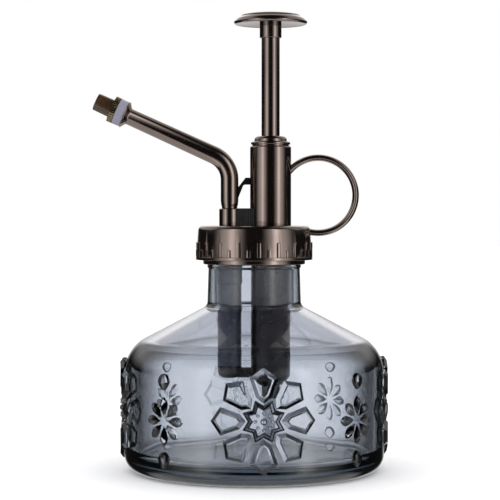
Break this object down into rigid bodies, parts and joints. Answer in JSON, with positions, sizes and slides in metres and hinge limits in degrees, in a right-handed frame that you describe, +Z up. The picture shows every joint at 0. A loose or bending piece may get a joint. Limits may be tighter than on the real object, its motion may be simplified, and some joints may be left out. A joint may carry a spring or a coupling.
{
  "type": "hand mister",
  "caption": "Glass plant mister: squat pressed-glass bottle, screw-on plated pump head with push knob, bent spout, twist nozzle and finger ring.",
  "frame": {"origin": "middle of the bottle's base, where it stands", "axes": "+Z up along the bottle's axis; the spout points to -X and the finger ring to +X"},
  "size_m": [0.1065, 0.0968, 0.1649],
  "materials": {
    "smoke_glass": "smoke-grey pressed glass, clear and glossy",
    "plated_shell": "dark bronze plating on a moulded shell, mirror bright",
    "plated_metal": "dark bronze plating on metal, mirror bright",
    "black_plastic": "black moulded plastic",
    "bronze_plastic": "dark brown-black moulded plastic",
    "blue_plastic": "blue-grey moulded plastic",
    "clear_plastic": "clear moulded plastic",
    "lilac_plastic": "lilac-grey moulded plastic",
    "brown_plastic": "translucent brown plastic",
    "knurl_brass": "knurled brass, darkened in the grooves",
    "valve_steel": "polished steel ball",
    "spring_steel": "drawn spring wire",
    "seal_rubber": "black rubber"
  },
  "bodies": {
    "bottle": {"bottle": "smoke_glass"},
    "cap_lift": {"cap_gasket": "seal_rubber"},
    "head": {"cap_shell": "plated_shell", "pump_barrel": "plated_shell", "gland_nut": "plated_shell", "rod_seal": "seal_rubber", "finger_ring": "plated_metal", "spout_brace": "black_plastic", "link_block": "black_plastic", "spout_socket": "plated_shell", "spout_tube": "plated_metal", "nozzle_collar": "lilac_plastic", "swirl_core": "clear_plastic", "pump_cylinder": "bronze_plastic", "cylinder_foot": "bronze_plastic", "inlet_cage": "clear_plastic", "discharge_column": "blue_plastic", "discharge_seat": "clear_plastic", "discharge_retainer": "clear_plastic", "dip_tube": "clear_plastic", "return_spring": "spring_steel"},
    "plunger": {"knob": "plated_shell", "knob_ferrule": "plated_metal", "plunger_rod": "plated_metal", "piston": "bronze_plastic", "piston_seal": "seal_rubber"},
    "inlet_valve": {"inlet_ball": "valve_steel"},
    "discharge_valve": {"discharge_ball": "valve_steel"},
    "nozzle_slide": {"nozzle_o_ring": "seal_rubber"},
    "nozzle": {"nozzle_ring": "knurl_brass", "nozzle_tip": "brown_plastic"}
  },
  "joints": [
    {"name": "head_rise", "type": "slide", "parent": "bottle", "child": "cap_lift", "axis": [0, 0, 1], "range_m": [0, 0.0045]},
    {"name": "head_turn", "type": "hinge", "parent": "cap_lift", "child": "head", "pos_m": [0, 0, 0.08], "axis": [0, 0, 1], "range_deg": [0, 540]},
    {"name": "plunger_stroke", "type": "slide", "parent": "head", "child": "plunger", "axis": [0, 0, -1], "range_m": [0, 0.034], "stiffness_N_per_m": 250, "springref_m": -0.01, "deforming": ["return_spring"]},
    {"name": "inlet_ball_lift", "type": "slide", "parent": "head", "child": "inlet_valve", "axis": [0, 0, 1], "range_m": [0, 0.0009]},
    {"name": "discharge_ball_lift", "type": "slide", "parent": "head", "child": "discharge_valve", "axis": [0, 0, 1], "range_m": [0, 0.0012]},
    {"name": "nozzle_advance", "type": "slide", "parent": "head", "child": "nozzle_slide", "axis": [-0.9107, 0, 0.4131], "range_m": [0, 0.0008]},
    {"name": "nozzle_turn", "type": "hinge", "parent": "nozzle_slide", "child": "nozzle", "pos_m": [-0.0512, 0, 0.13001], "axis": [-0.9107, 0, 0.4131], "range_deg": [0, 360]}
  ],
  "couplings": [
    {"joint": "head_turn", "follows": "head_rise", "rad_per_m": 2094.4},
    {"joint": "nozzle_turn", "follows": "nozzle_advance", "rad_per_m": 7854}
  ]
}
